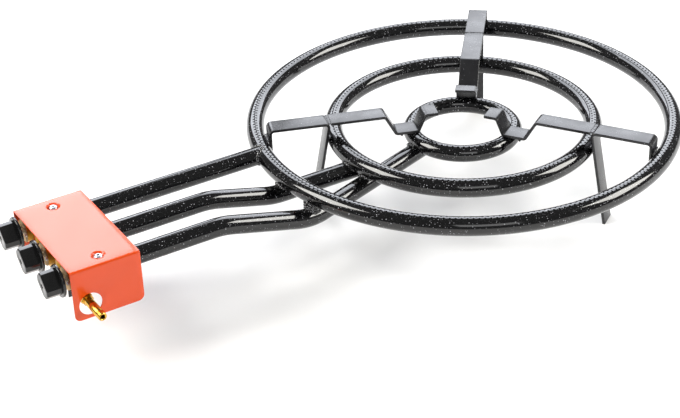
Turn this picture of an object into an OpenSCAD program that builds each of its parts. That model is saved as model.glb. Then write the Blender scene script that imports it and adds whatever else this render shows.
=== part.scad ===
// Three-ring gas burner for a paella pan: concentric ported tubes on three
// flat-bar supports, fed by three pipes from a tap box with push-and-turn knobs.
// Millimetres, floor at z = 0, +X runs from the tap box to the rings.

/* [Rings] */
// Outside diameter of the outer ring
outer_ring_d = 600; // [540:1:700]
// Outside diameter of the middle ring
middle_ring_d = 384; // [360:1:400]
// Outside diameter of the inner ring
inner_ring_d = 165; // [155:1:180]
// Diameter of the outer and middle ring tubes
ring_tube_d = 25; // [22:0.5:28]
// Diameter of the inner ring tube
inner_tube_d = 23; // [20:0.5:25]
// Wall of the ring tubes
ring_wall = 3; // [2:0.1:3.5]
// Drop of the middle ring below the outer one
middle_drop = 9; // [4:0.5:14]
// Drop of the inner ring below the outer one
inner_drop = 19; // [14:0.5:24]
// Diameter of a gas port
port_d = 2; // [1:0.1:3]
// Spacing of the gas ports along a ring
port_pitch = 30; // [15:1:40]
// Lean of the ports to each side of the top, in two staggered rows
port_lean = 8; // [6:1:16]
// Diameter of the gas way from a pipe into its ring
gas_way_d = 10; // [6:0.5:14]

/* [Feed pipes] */
// Diameter of the feed pipes
pipe_d = 25; // [22:0.5:28]
// Wall of the feed pipes
pipe_wall = 1; // [0.8:0.1:2]
// Spacing of the pipes at the tap box
pipe_spacing = 65; // [56:0.5:70]
// Distance from the ring centre to the pipe mouths
mouth_reach = 584; // [560:1:640]
// Distance from the outer ring's centre line to the end of the middle pipe's S bend
bend_clear = 2; // [0.5:0.5:8]
// Centre-line radius of the pipe bends
bend_r = 110; // [96:1:124]
// Slope of the pipes between their bends
bend_angle = 15; // [13:0.5:17]
// Distance from the ring centre to the inner pipe's turn
turn_reach = 285; // [278:1:294]
// Angle of the inner pipe's turn
turn_angle = 18.5; // [16:0.5:20]
// Clearance where a tube passes under or meets a ring
weld_gap = 0.1; // [0.05:0.05:0.3]

/* [Pan supports] */
// Width of the flat bar
bar_w = 28; // [20:0.5:32]
// Thickness of the flat bar
bar_t = 4; // [3:0.5:5]
// Height of the outer ring's axis above the floor
ring_axis_z = 113; // [100:1:140]
// Rise of the pan rest above the outer ring's axis
pan_rise = 24; // [20:0.5:32]
// Inside bend radius of the flat bar
bar_bend_r = 3; // [2:0.5:5]
// Outward reach of a foot beyond the top of its leg
leg_splay = 24; // [14:1:30]
// Depth of an outer end below the ring axis
end_drop = 8; // [4:0.5:12]
// Radius at which the bars start down to the inner ring
step_r = 113; // [105:1:125]
// Radius at which the saddle on the inner ring starts
saddle_r = 98; // [94:1:102]
// Radius of the tabs' outer bend
tab_r = 57; // [52:1:60]
// Radius of the tabs' inner ends
tab_end_r = 39; // [33:1:46]
// Drop of the tabs below the pan rest
tab_drop = 4; // [0:0.5:8]
// Radius at which the rear bar starts down to the inner ring
rear_step_r = 131; // [125:1:140]
// Radius of the rear leg's top
rear_leg_r = 216; // [208:1:224]
// Direction of the left support
left_angle = 160; // [154:1:166]
// Direction of the right support
right_angle = 304; // [298:1:312]
// Direction of the rear support
rear_angle = 50.5; // [44:0.5:56]
// Sideways shift of the left support
left_shift = 4; // [0:0.5:12]
// Sideways shift of the right support
right_shift = 9; // [0:0.5:12]

/* [Tap box] */
// Depth of the cover, along the pipes
cover_depth = 92; // [84:1:100]
// Width of the cover, along the row of knobs
cover_w = 176; // [172:1:190]
// Height of the cover
cover_h = 70; // [60:1:80]
// Sheet thickness of the cover
cover_t = 1.2; // [1:0.1:2]
// Outside radius of the cover's folds
fold_r = 3; // [2:0.5:6]
// Radius of the lower corners of the side plates
corner_r = 8; // [4:0.5:12]
// Overhang of the cover past the pipe mouths
cover_overhang = 48; // [44:1:56]
// Diameter of the hole for the hose nozzle
nozzle_hole_d = 30; // [26:0.5:34]
// Spacing of the cover screws
screw_spacing = 136; // [120:1:140]
// Thread diameter of the cover screws
screw_d = 6; // [5:0.5:6]
// Depth of the pressed screw dimples
dimple_depth = 3; // [2:0.5:4]
// Width of the cross bar on the pipes
cross_w = 22; // [18:1:26]
// Thickness of the cross bar
cross_t = 2.5; // [2:0.5:4]
// Thickness of the rail hangers
hanger_t = 2; // [1.5:0.5:4]
// Spacing of the rail hangers
hanger_spacing = 88; // [84:1:92]

/* [Gas rail] */
// Diameter of the gas rail
rail_d = 16; // [15:0.5:20]
// Bore of the gas rail
rail_bore_d = 10; // [8:0.5:10]
// Drop of the gas rail below the pipes
rail_drop = 31; // [28:0.5:36]
// Diameter of the hose nozzle
nozzle_d = 11.5; // [8:0.5:12]
// Bore of the hose nozzle
nozzle_bore_d = 6; // [4:0.5:6]
// Reach of the hose nozzle past the cover
nozzle_reach = 34; // [25:1:45]

/* [Taps] */
// Diameter of the tap barrel
barrel_d = 22; // [20:0.5:24]
// Length of the tap barrel
barrel_len = 28; // [27:0.5:32]
// Diameter of the turning plug
plug_d = 14; // [13:0.5:15]
// Running clearance of the plug and the spindle
run_gap = 0.05; // [0.03:0.01:0.08]
// Diameter of the tap flange
flange_d = 30; // [28:0.5:32]
// Gap from the injector to the pipe mouth
air_gap = 4; // [3:0.5:6]
// Diameter of the spindle
spindle_d = 7; // [6:0.5:8]
// Push travel of a knob
push_travel = 3; // [2:0.5:3]
// Wire of the return spring
wire_d = 0.8; // [0.6:0.1:1]
// Coils of the return spring
spring_turns = 3; // [2:1:3]

/* [Knobs] */
// Diameter of the knob skirt
skirt_d = 42; // [36:1:48]
// Thickness of the knob skirt
skirt_t = 3.5; // [2.5:0.5:5]
// Depth of the whole knob
knob_depth = 23; // [22:1:30]
// Length of the grip
grip_len = 33; // [30:1:38]
// Width of the grip
grip_w = 20; // [16:1:24]
// Chamfer of the grip's corners
grip_chamfer = 5; // [2:0.5:6]
// Tilt of the grip when the tap is shut
grip_tilt = 45; // [0:5:90]
// Gap from the knob to the tap
knob_gap = 7; // [6.5:0.5:14]

/* [Hidden] */
$fn = 64;

// Colours
enamel = "#1c1c1f";
orange = "#e4602f";
brass = "#c9a13b";
steel = "#b9bcc0";
plastic = "#161618";

// Rings, from the outside in
outer_r = (outer_ring_d - ring_tube_d) / 2;
middle_r = (middle_ring_d - ring_tube_d) / 2;
inner_r = (inner_ring_d - inner_tube_d) / 2;
middle_z = ring_axis_z - middle_drop;
inner_z = ring_axis_z - inner_drop;
cut_past = 1;

// Levels of the pipes: the low runs pass just under the ring that they cross
middle_low_z = ring_axis_z - (ring_tube_d + pipe_d) / 2 - weld_gap;
inner_low_z = middle_z - (ring_tube_d + pipe_d) / 2 - weld_gap;
pipe_bore_d = pipe_d - 2 * pipe_wall;
outer_pipe_end = sqrt(outer_r * outer_r - pipe_spacing * pipe_spacing);

// Inner pipe: it turns towards the inner ring and stops under its tube
function unit(a) = [cos(a), sin(a)];
function run_to_circle(p, a, r) =
    let (along = -(p * unit(a)), off = p * unit(a + 90))
    along - sqrt(r * r - off * off);
turn_at = [-turn_reach, -pipe_spacing];
inner_meet = turn_at + unit(turn_angle) * run_to_circle(turn_at, turn_angle, inner_r);
inner_end = inner_meet + unit(turn_angle) * pipe_d / 2;
bend_lap = 1;
bend_swell = 0.05;
bend_steps = 6;

// Supports
bar_r = bar_bend_r + bar_t / 2;
pan_z = ring_axis_z + pan_rise;
bar_z = pan_z - bar_t / 2;
outer_end_r = outer_r - ring_tube_d / 2 - bar_t / 2 - weld_gap
    - (outer_r - sqrt(outer_r * outer_r - pow(bar_w / 2 + max(left_shift, right_shift), 2)));
leg_slope = atan(leg_splay / bar_z);
leg_top_r = middle_r + ring_tube_d / 2 + bar_t / 2 / cos(leg_slope) + weld_gap
    - (bar_z - middle_z - ring_tube_d / 2) * tan(leg_slope);
saddle_z = inner_z + inner_tube_d / 2 + weld_gap + bar_t / 2;
saddle_end_r = inner_r - bar_t;
tab_z = bar_z - tab_drop;
rear_end_r = outer_r + ring_tube_d / 2 + bar_t / 2 + weld_gap;

// Tap box, seen from the ring centre towards -X
cover_x1 = -mouth_reach + cover_overhang;
cover_x0 = cover_x1 - cover_depth;
cover_mid_x = (cover_x0 + cover_x1) / 2;
pipe_top_z = ring_axis_z + pipe_d / 2;
cross_z0 = pipe_top_z + weld_gap;
cross_z1 = cross_z0 + cross_t;
cover_z1 = cross_z1 + weld_gap + dimple_depth + cover_t;
cover_z0 = cover_z1 - cover_h;
screw_head_d = 1.9 * screw_d;
screw_head_h = 0.55 * screw_d;
screw_top_d = 0.8 * screw_head_d;
head_room = 1.5;
dimple_d = screw_head_d + head_room;
dimple_top_d = dimple_d + head_room * dimple_depth;
screw_hole_d = screw_d + 0.6;
socket_w = 0.22 * screw_head_d;
fit = 0.1;
stop_gap = 0.3;

// Gas rail, its hangers and its fittings
rail_z = ring_axis_z - rail_drop;
rail_margin = 9;
rail_half = pipe_spacing + rail_margin;
hex_d = rail_d;
hex_t = 6;
plug_head_t = 3;
ridge_len = 4;
ridge_count = 2;
nozzle_core_d = nozzle_d - 0.8;
cross_half = pipe_spacing + pipe_d / 2 + rail_margin / 2;

// Taps: x positions from the injector to the knob
injector_x1 = -mouth_reach - air_gap;
injector_nose = 6;
tap_x1 = injector_x1 - injector_nose;
tap_x0 = tap_x1 - barrel_len;
injector_d = 8;
injector_bore_d = 1.5;
injector_hex_d = 1.4 * injector_d;
injector_hex_t = 3;
injector_neck_d = 0.9 * injector_d;
injector_tip_d = 0.5 * injector_d;
thread_len = 5.5;
web = 2;
rail_x = tap_x1 - 12;
plug_x1 = tap_x1 - thread_len - web;
plug_len = 12.5;
plug_x0 = plug_x1 - plug_len;
flange_t = 4;
bonnet_t = 4;
bonnet_x0 = tap_x0 - bonnet_t;
collar_t = 1.4;
collar_d = plug_d - 2;
collar_x0 = tap_x0 + stop_gap;
collar_x1 = collar_x0 + collar_t;
tongue_w = 5;
socket_depth = push_travel + 3.5;
tongue_gap = 0.5;
tongue_x1 = plug_x0 + socket_depth - push_travel - tongue_gap;
outlet_d = 4;
stub_d = 12;
inlet_d = 5;
flange_screw_r = 11;
flange_screw_d = 3;
flange_head_d = 1.8 * flange_screw_d;
flange_head_t = 2;

// Knobs
knob_x1 = bonnet_x0 - knob_gap;
knob_x0 = knob_x1 - knob_depth;
knob_bore_len = knob_depth - 8;
spindle_x0 = knob_x1 - knob_bore_len + 1;
front_hole_d = 5;
front_hole_depth = 3;

// The part stands centred over the origin
shift_x = -(knob_x0 + outer_ring_d / 2) / 2;
pipe_rows = [pipe_spacing, 0, -pipe_spacing];

// Bent rod along a table of moves: [straight length, bend angle, bend radius, roll before the bend].
// A bend is a hair thicker than the straights, which run a little way into it.
module bent_rod(moves, d, i = 0) {
    length = moves[i][0];
    angle = moves[i][1];
    r = moves[i][2];
    side = sign(angle);
    more = i < len(moves) - 1;
    lap_start = i > 0 ? bend_lap : 0;
    lap_end = more ? bend_lap : 0;
    bar_x(-lap_start, length + lap_end, d);
    if (more)
        translate([length, 0, 0]) rotate([moves[i][3], 0, 0]) translate([0, side * r, 0]) {
            rotate([0, 0, -90 * side + min(angle, 0)])
                rotate_extrude(angle = abs(angle)) translate([r, 0]) circle(d = d + 2 * bend_swell);
            rotate([0, 0, angle]) translate([0, -side * r, 0]) bent_rod(moves, d, i + 1);
        }
}

// Outline of a bent flat bar along its centre line, with round bends
function turn_of(a, b, c) =
    let (u = b - a, v = c - b)
    atan2(u[0] * v[1] - u[1] * v[0], u * v);
function heading(a, b) = atan2(b[1] - a[1], b[0] - a[0]);
function bend_points(a, b, c, r, off) =
    let (t = turn_of(a, b, c), h = heading(a, b), side = sign(t))
    let (start = b - unit(h) * r * tan(abs(t) / 2), centre = start + unit(h + side * 90) * r)
    [for (k = [0 : bend_steps]) centre + unit(h - side * 90 + t * k / bend_steps) * (r - side * off)];
function bar_side(pts, r, off) =
    let (n = len(pts) - 1, first = heading(pts[0], pts[1]), last = heading(pts[n - 1], pts[n]))
    concat([pts[0] + unit(first + 90) * off],
        [for (i = [1 : n - 1]) each bend_points(pts[i - 1], pts[i], pts[i + 1], r, off)],
        [pts[n] + unit(last + 90) * off]);
function reversed(list) = [for (i = [len(list) - 1 : -1 : 0]) list[i]];

module upright() { rotate([90, 0, 0]) children(); }

module place() { translate([shift_x, 0, 0]) children(); }

// Cylinder along X between two x positions
module bar_x(x0, x1, d, d2 = undef) {
    translate([x0, 0, 0]) rotate([0, 90, 0])
        cylinder(h = x1 - x0, d1 = d, d2 = is_undef(d2) ? d : d2);
}

// Cylinder along Y between two y positions
module bar_y(y0, y1, d) {
    translate([0, y1, 0]) rotate([90, 0, 0]) cylinder(h = y1 - y0, d = d);
}

// Rings
module ring_solid(r, z, d, grow = 0) {
    translate([0, 0, z]) rotate_extrude() translate([r, 0]) circle(d = d + 2 * grow);
}

module ring_tube(r, z, d) {
    count = 2 * round(PI * r / port_pitch);
    difference() {
        translate([0, 0, z]) rotate_extrude() translate([r, 0]) difference() {
            circle(d = d);
            circle(d = d - 2 * ring_wall);
        }
        for (i = [0 : count - 1])
            rotate([0, 0, (i + 0.5) * 360 / count]) translate([r, 0, z])
                rotate([0, i % 2 == 0 ? port_lean : -port_lean, 0]) rotate([0, 0, 90])
                    cylinder(h = d, d = port_d, $fn = 16);
        children();
    }
}

module outer_ring() {
    color(enamel) place() ring_tube(outer_r, ring_axis_z, ring_tube_d)
        translate([0, pipe_spacing, ring_axis_z])
            bar_x(-outer_pipe_end - ring_tube_d, -outer_pipe_end, gas_way_d);
}

module middle_ring() {
    color(enamel) place() ring_tube(middle_r, middle_z, ring_tube_d)
        translate([-middle_r, 0, middle_low_z]) cylinder(h = middle_z - middle_low_z, d = gas_way_d);
}

module inner_ring() {
    color(enamel) place() ring_tube(inner_r, inner_z, inner_tube_d)
        translate([inner_meet[0], inner_meet[1], inner_low_z])
            cylinder(h = inner_z - inner_low_z, d = gas_way_d);
}

// Feed pipes, drawn from the mouth at zero along +X; the end wall closes a blind end
module pipe_run(moves, end_wall) {
    last = len(moves) - 1;
    bore = [for (i = [0 : last]) [moves[i][0] + (i == 0 ? cut_past : 0) - (i == last ? end_wall : 0),
        moves[i][1], moves[i][2], moves[i][3]]];
    upright() difference() {
        bent_rod(moves, pipe_d);
        translate([-cut_past, 0, 0]) bent_rod(bore, pipe_bore_d);
    }
}

// Straight length that a bend takes up on each side of its corner
function setback(angle) = bend_r * tan(angle / 2);

module at_mouth(y) { translate([-mouth_reach, y, ring_axis_z]) children(); }

module outer_pipe() {
    color(enamel) place() difference() {
        at_mouth(pipe_spacing) pipe_run([[mouth_reach - outer_pipe_end, 0, 0, 0]], -cut_past);
        ring_solid(outer_r, ring_axis_z, ring_tube_d, weld_gap);
    }
}

module middle_pipe() {
    drop = ring_axis_z - middle_low_z;
    back = setback(bend_angle);
    low_corner = outer_r + bend_clear + back;
    high_run = mouth_reach - low_corner - drop / tan(bend_angle) - back;
    slant = drop / sin(bend_angle) - 2 * back;
    low_run = low_corner - back - middle_r + pipe_d / 2;
    color(enamel) place() difference() {
        at_mouth(0) pipe_run([[high_run, -bend_angle, bend_r, 0], [slant, bend_angle, bend_r, 0],
            [low_run, 0, 0, 0]], pipe_wall);
        ring_solid(middle_r, middle_z, ring_tube_d, weld_gap);
    }
}

// The inner pipe's second bend lies aslant: it levels the pipe and turns it sideways at once
module inner_pipe() {
    drop = ring_axis_z - inner_low_z;
    turn = acos(cos(turn_angle) * cos(bend_angle));
    roll = atan2(-sin(turn_angle), cos(turn_angle) * sin(bend_angle));
    high_run = mouth_reach - turn_reach - drop / tan(bend_angle) - setback(bend_angle);
    slant = drop / sin(bend_angle) - setback(bend_angle) - setback(turn);
    end_run = norm(inner_end - turn_at) - setback(turn);
    color(enamel) place() difference() {
        at_mouth(-pipe_spacing) pipe_run([[high_run, -bend_angle, bend_r, 0], [slant, turn, bend_r, roll],
            [end_run, 0, 0, 0]], pipe_wall);
        ring_solid(inner_r, inner_z, inner_tube_d, weld_gap);
    }
}

// Pan supports, drawn in the plane of one support with the ring centre at zero
module support_at(angle, shift) {
    place() rotate([0, 0, angle]) translate([0, shift, 0]) children();
}

module flat_bar(pts) {
    upright() translate([0, 0, -bar_w / 2]) linear_extrude(bar_w)
        polygon(concat(bar_side(pts, bar_r, bar_t / 2), reversed(bar_side(pts, bar_r, -bar_t / 2))));
}

module outer_bracket(angle, shift, leg_r = leg_top_r, end_r = outer_end_r) {
    floor_cut = outer_ring_d;
    color(enamel) support_at(angle, shift) difference() {
        flat_bar([[end_r, ring_axis_z - end_drop], [end_r, bar_z], [leg_r, bar_z],
            [leg_r + leg_splay * (1 + bar_t / bar_z), -bar_t]]);
        translate([0, -bar_w, -2 * bar_t]) cube([floor_cut, 2 * bar_w, 2 * bar_t]);
    }
}

module inner_bracket(angle, shift, leg_r = leg_top_r, step = step_r) {
    seam_r = leg_r - bar_t / 2 - weld_gap;
    color(enamel) support_at(angle, shift)
        flat_bar([[seam_r, bar_z], [step, bar_z], [saddle_r, saddle_z], [saddle_end_r, saddle_z],
            [tab_r, tab_z], [tab_end_r, tab_z]]);
}

module left_outer_bracket() { outer_bracket(left_angle, left_shift); }
module right_outer_bracket() { outer_bracket(right_angle, -right_shift); }
module rear_outer_bracket() { outer_bracket(rear_angle, 0, rear_leg_r, rear_end_r); }
module left_inner_bracket() { inner_bracket(left_angle, left_shift); }
module right_inner_bracket() { inner_bracket(right_angle, -right_shift); }
module rear_inner_bracket() { inner_bracket(rear_angle, 0, rear_leg_r, rear_step_r); }

// Tap box
module fold_outline(w, h, r) {
    translate([-w / 2, -cut_past]) square([w, h - r + cut_past]);
    translate([-w / 2 + r, -cut_past]) square([w - 2 * r, h + cut_past]);
    for (s = [-1, 1]) translate([s * (w / 2 - r), h - r]) circle(r = r);
}

module side_outline() {
    translate([0, corner_r]) square([cover_depth, cover_h]);
    translate([corner_r, 0]) square([cover_depth - 2 * corner_r, cover_h]);
    for (x = [corner_r, cover_depth - corner_r]) translate([x, corner_r]) circle(r = corner_r);
}

module screw_places() {
    for (s = [-1, 1]) translate([cover_mid_x, s * screw_spacing / 2, 0]) children();
}

module cover() {
    inner_fold_r = max(fold_r - cover_t, 0.5);
    color(orange) place() difference() {
        union() {
            difference() {
                intersection() {
                    translate([cover_x0, 0, cover_z0]) rotate([90, 0, 90])
                        linear_extrude(cover_depth) fold_outline(cover_w, cover_h, fold_r);
                    translate([cover_x0, cover_w / 2, cover_z0]) rotate([90, 0, 0])
                        linear_extrude(cover_w) side_outline();
                }
                translate([cover_x0 - cut_past, 0, cover_z0]) rotate([90, 0, 90])
                    linear_extrude(cover_depth + 2 * cut_past)
                        fold_outline(cover_w - 2 * cover_t, cover_h - cover_t, inner_fold_r);
            }
            screw_places() translate([0, 0, cover_z1 - dimple_depth - cover_t])
                cylinder(h = dimple_depth + cover_t,
                    d1 = dimple_d + 2 * cover_t, d2 = dimple_top_d + 2 * cover_t);
        }
        screw_places() {
            translate([0, 0, cover_z1 - dimple_depth])
                cylinder(h = dimple_depth, d1 = dimple_d, d2 = dimple_top_d);
            translate([0, 0, cross_z1 - cut_past])
                cylinder(h = dimple_depth + cover_t + 2 * cut_past, d = screw_hole_d);
        }
        translate([rail_x, -cover_w / 2, rail_z]) bar_y(-cut_past, cut_past + cover_t, nozzle_hole_d);
    }
}

module cover_screws() {
    seat_z = cover_z1 - dimple_depth;
    color(steel) place() screw_places() difference() {
        union() {
            translate([0, 0, cross_z0]) cylinder(h = seat_z - cross_z0 + screw_head_h / 2, d = screw_d);
            translate([0, 0, seat_z + fit]) cylinder(h = screw_head_h, d1 = screw_head_d, d2 = screw_top_d);
        }
        for (a = [0, 90]) rotate([0, 0, a])
            translate([-screw_head_d / 4, -socket_w / 2, seat_z + screw_head_h / 2])
                cube([screw_head_d / 2, socket_w, screw_head_h]);
    }
}

module cross_bar() {
    color(enamel) place() difference() {
        translate([cover_mid_x - cross_w / 2, -cross_half, cross_z0])
            cube([cross_w, 2 * cross_half, cross_t]);
        screw_places() translate([0, 0, cross_z0 - cut_past])
            cylinder(h = cross_t + 2 * cut_past, d = screw_d + 2 * fit);
    }
}

// Hangers between the taps: plates that carry the rail from the cross bar
module rail_hangers() {
    margin = 3;
    x0 = rail_x - rail_d / 2 - margin;
    x1 = cover_mid_x + cross_w / 2;
    z0 = rail_z - rail_d / 2 - margin;
    z1 = cross_z0 - weld_gap;
    color(enamel) place() for (s = [-1, 1]) translate([0, s * hanger_spacing / 2, 0]) difference() {
        translate([x0, -hanger_t / 2, z0]) cube([x1 - x0, hanger_t, z1 - z0]);
        translate([rail_x, 0, rail_z]) bar_y(-hanger_t, hanger_t, rail_d + 2 * fit);
        translate([x0 - cut_past, -hanger_t, ring_axis_z - barrel_d / 2])
            cube([cover_mid_x - cross_w / 2 - x0 + cut_past, 2 * hanger_t, cover_h]);
    }
}

module gas_rail() {
    color(brass) place() translate([rail_x, 0, rail_z]) difference() {
        bar_y(-rail_half, rail_half, rail_d);
        bar_y(-rail_half - cut_past, rail_half + cut_past, rail_bore_d);
        for (y = pipe_rows) translate([0, y, 0]) cylinder(h = rail_d, d = inlet_d);
    }
}

module hose_nozzle() {
    y0 = -cover_w / 2 - nozzle_reach;
    seat = -rail_half - fit;
    color(brass) place() translate([rail_x, 0, rail_z]) difference() {
        union() {
            translate([0, seat, 0]) rotate([90, 0, 0]) cylinder(h = hex_t, d = hex_d, $fn = 6);
            bar_y(y0, seat, nozzle_core_d);
            bar_y(y0 + ridge_count * ridge_len, seat, nozzle_d);
            bar_y(seat - fit, seat + hex_t, rail_bore_d - 2 * fit);
            for (i = [1 : ridge_count]) translate([0, y0 + i * ridge_len, 0]) rotate([90, 0, 0])
                cylinder(h = ridge_len, d1 = nozzle_d, d2 = nozzle_core_d);
        }
        bar_y(y0 - cut_past, seat + hex_t + cut_past, nozzle_bore_d);
    }
}

module rail_plug() {
    seat = rail_half + fit;
    color(brass) place() translate([rail_x, 0, rail_z]) {
        translate([0, seat + plug_head_t, 0]) rotate([90, 0, 0])
            cylinder(h = plug_head_t, d = hex_d, $fn = 6);
        bar_y(seat - hex_t, seat + fit, rail_bore_d - 2 * fit);
    }
}

// Taps: each is drawn on its own axis and moved to its pipe
module at_pipe(y) { place() translate([0, y, ring_axis_z]) children(); }

module flange_screw_places() {
    for (s = [-1, 1]) translate([0, s * flange_screw_r, 0]) children();
}

module tap_body(y) {
    color(brass) at_pipe(y) difference() {
        union() {
            bar_x(tap_x0, tap_x1, barrel_d);
            bar_x(tap_x0, tap_x0 + flange_t, flange_d);
            difference() {
                translate([rail_x, 0, -rail_drop]) cylinder(h = rail_drop, d = stub_d);
                translate([rail_x, 0, -rail_drop]) bar_y(-stub_d, stub_d, rail_d + 2 * weld_gap);
            }
        }
        bar_x(tap_x0 - cut_past, plug_x1, plug_d);
        bar_x(plug_x1 - cut_past, tap_x1, outlet_d);
        bar_x(tap_x1 - thread_len, tap_x1 + cut_past, injector_d);
        translate([rail_x, 0, -rail_drop]) cylinder(h = rail_drop, d = inlet_d);
        flange_screw_places() bar_x(tap_x0 - cut_past, tap_x0 + flange_t + cut_past, flange_screw_d + fit);
    }
}

module bonnet(y) {
    color(brass) at_pipe(y) difference() {
        bar_x(bonnet_x0, tap_x0 - fit, flange_d);
        bar_x(bonnet_x0 - cut_past, tap_x0 + cut_past, spindle_d + 2 * run_gap);
        flange_screw_places() bar_x(bonnet_x0 - cut_past, tap_x0 + cut_past, flange_screw_d + fit);
    }
}

module bonnet_screws() {
    color(steel) for (y = pipe_rows) at_pipe(y) flange_screw_places() {
        bar_x(bonnet_x0 - fit, tap_x0 + flange_t, flange_screw_d);
        bar_x(bonnet_x0 - fit - flange_head_t, bonnet_x0 - fit, flange_head_d);
    }
}

module injector(y) {
    color(brass) at_pipe(y) difference() {
        union() {
            bar_x(tap_x1 - thread_len + fit, tap_x1 + fit, injector_d - fit);
            translate([tap_x1 + fit, 0, 0]) rotate([0, 90, 0])
                cylinder(h = injector_hex_t, d = injector_hex_d, $fn = 6);
            bar_x(tap_x1 + injector_hex_t, injector_x1, injector_neck_d, injector_tip_d);
        }
        bar_x(tap_x1 - thread_len, tap_x1, outlet_d);
        bar_x(tap_x1 - cut_past, injector_x1 + cut_past, injector_bore_d);
    }
}

// Plug: a square socket for the spindle and an L-shaped gas way
module tap_plug(y) {
    socket = tongue_w + 2 * run_gap;
    color(steel) at_pipe(y) difference() {
        bar_x(plug_x0, plug_x1 - stop_gap, plug_d - 2 * run_gap);
        translate([plug_x0 - cut_past, -socket / 2, -socket / 2])
            cube([socket_depth + cut_past, socket, socket]);
        bar_x(rail_x, plug_x1 + cut_past, outlet_d);
        translate([rail_x, 0, 0]) bar_y(0, plug_d, outlet_d);
    }
}

module spindle(y) {
    color(steel) at_pipe(y) {
        bar_x(spindle_x0, collar_x0 + collar_t / 2, spindle_d);
        bar_x(collar_x0, collar_x1, collar_d);
        translate([collar_x1 - collar_t / 2, -tongue_w / 2, -tongue_w / 2])
            cube([tongue_x1 - collar_x1 + collar_t / 2, tongue_w, tongue_w]);
    }
}

// Return spring: a wire swept round the tongue between the collar and the plug
module spring(y) {
    sides = 6;
    per_turn = 12;
    steps = spring_turns * per_turn;
    r = collar_d / 2 - wire_d / 2;
    x0 = collar_x1 + wire_d / 2 + fit;
    x1 = plug_x0 - wire_d / 2 - fit;
    points = [for (i = [0 : steps]) for (k = [0 : sides - 1])
        let (a = 360 * i / per_turn, b = 360 * k / sides, q = r + wire_d / 2 * cos(b))
        [x0 + (x1 - x0) * i / steps + wire_d / 2 * sin(b), q * cos(a), q * sin(a)]];
    skin = [for (i = [0 : steps - 1]) for (k = [0 : sides - 1])
        let (n = (k + 1) % sides, p = i * sides)
        each [[p + k, p + sides + n, p + n], [p + k, p + sides + k, p + sides + n]]];
    start = [for (k = [1 : sides - 2]) [0, k, k + 1]];
    end = [for (k = [1 : sides - 2]) [steps * sides, steps * sides + k + 1, steps * sides + k]];
    color(steel) at_pipe(y) polyhedron(points, concat(skin, start, end));
}

module knob(y) {
    half_l = grip_len / 2;
    half_w = grip_w / 2;
    c = grip_chamfer;
    color(plastic) at_pipe(y) difference() {
        union() {
            bar_x(knob_x1 - skirt_t, knob_x1, skirt_d);
            translate([knob_x0, 0, 0]) rotate([-grip_tilt, 0, 0]) rotate([90, 0, 90])
                linear_extrude(knob_depth - skirt_t / 2) polygon([
                    [half_w, half_l - c], [half_w - c, half_l],
                    [c - half_w, half_l], [-half_w, half_l - c],
                    [-half_w, c - half_l], [c - half_w, -half_l],
                    [half_w - c, -half_l], [half_w, c - half_l]]);
        }
        bar_x(knob_x1 - knob_bore_len, knob_x1 + cut_past, spindle_d + fit);
        bar_x(knob_x0 - cut_past, knob_x0 + front_hole_depth, front_hole_d);
    }
}

module outer_tap_body() { tap_body(pipe_rows[0]); }
module middle_tap_body() { tap_body(pipe_rows[1]); }
module inner_tap_body() { tap_body(pipe_rows[2]); }
module outer_bonnet() { bonnet(pipe_rows[0]); }
module middle_bonnet() { bonnet(pipe_rows[1]); }
module inner_bonnet() { bonnet(pipe_rows[2]); }
module outer_injector() { injector(pipe_rows[0]); }
module middle_injector() { injector(pipe_rows[1]); }
module inner_injector() { injector(pipe_rows[2]); }
module outer_tap_plug() { tap_plug(pipe_rows[0]); }
module middle_tap_plug() { tap_plug(pipe_rows[1]); }
module inner_tap_plug() { tap_plug(pipe_rows[2]); }
module outer_spindle() { spindle(pipe_rows[0]); }
module middle_spindle() { spindle(pipe_rows[1]); }
module inner_spindle() { spindle(pipe_rows[2]); }
module outer_spring() { spring(pipe_rows[0]); }
module middle_spring() { spring(pipe_rows[1]); }
module inner_spring() { spring(pipe_rows[2]); }
module outer_knob() { knob(pipe_rows[0]); }
module middle_knob() { knob(pipe_rows[1]); }
module inner_knob() { knob(pipe_rows[2]); }

outer_ring();
middle_ring();
inner_ring();
outer_pipe();
middle_pipe();
inner_pipe();
left_outer_bracket();
right_outer_bracket();
rear_outer_bracket();
left_inner_bracket();
right_inner_bracket();
rear_inner_bracket();
cover();
cover_screws();
cross_bar();
rail_hangers();
gas_rail();
hose_nozzle();
rail_plug();
outer_tap_body();
middle_tap_body();
inner_tap_body();
outer_bonnet();
middle_bonnet();
inner_bonnet();
bonnet_screws();
outer_injector();
middle_injector();
inner_injector();
outer_tap_plug();
middle_tap_plug();
inner_tap_plug();
outer_spindle();
middle_spindle();
inner_spindle();
outer_spring();
middle_spring();
inner_spring();
outer_knob();
middle_knob();
inner_knob();
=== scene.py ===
"""Looks of a three-ring paella burner: speckled enamel rings, pipes and pan supports, an orange tap box,
brass gas fittings and black knobs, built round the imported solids."""

import math

import bpy
import numpy as np
from mathutils import Matrix, Vector, geometry


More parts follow.
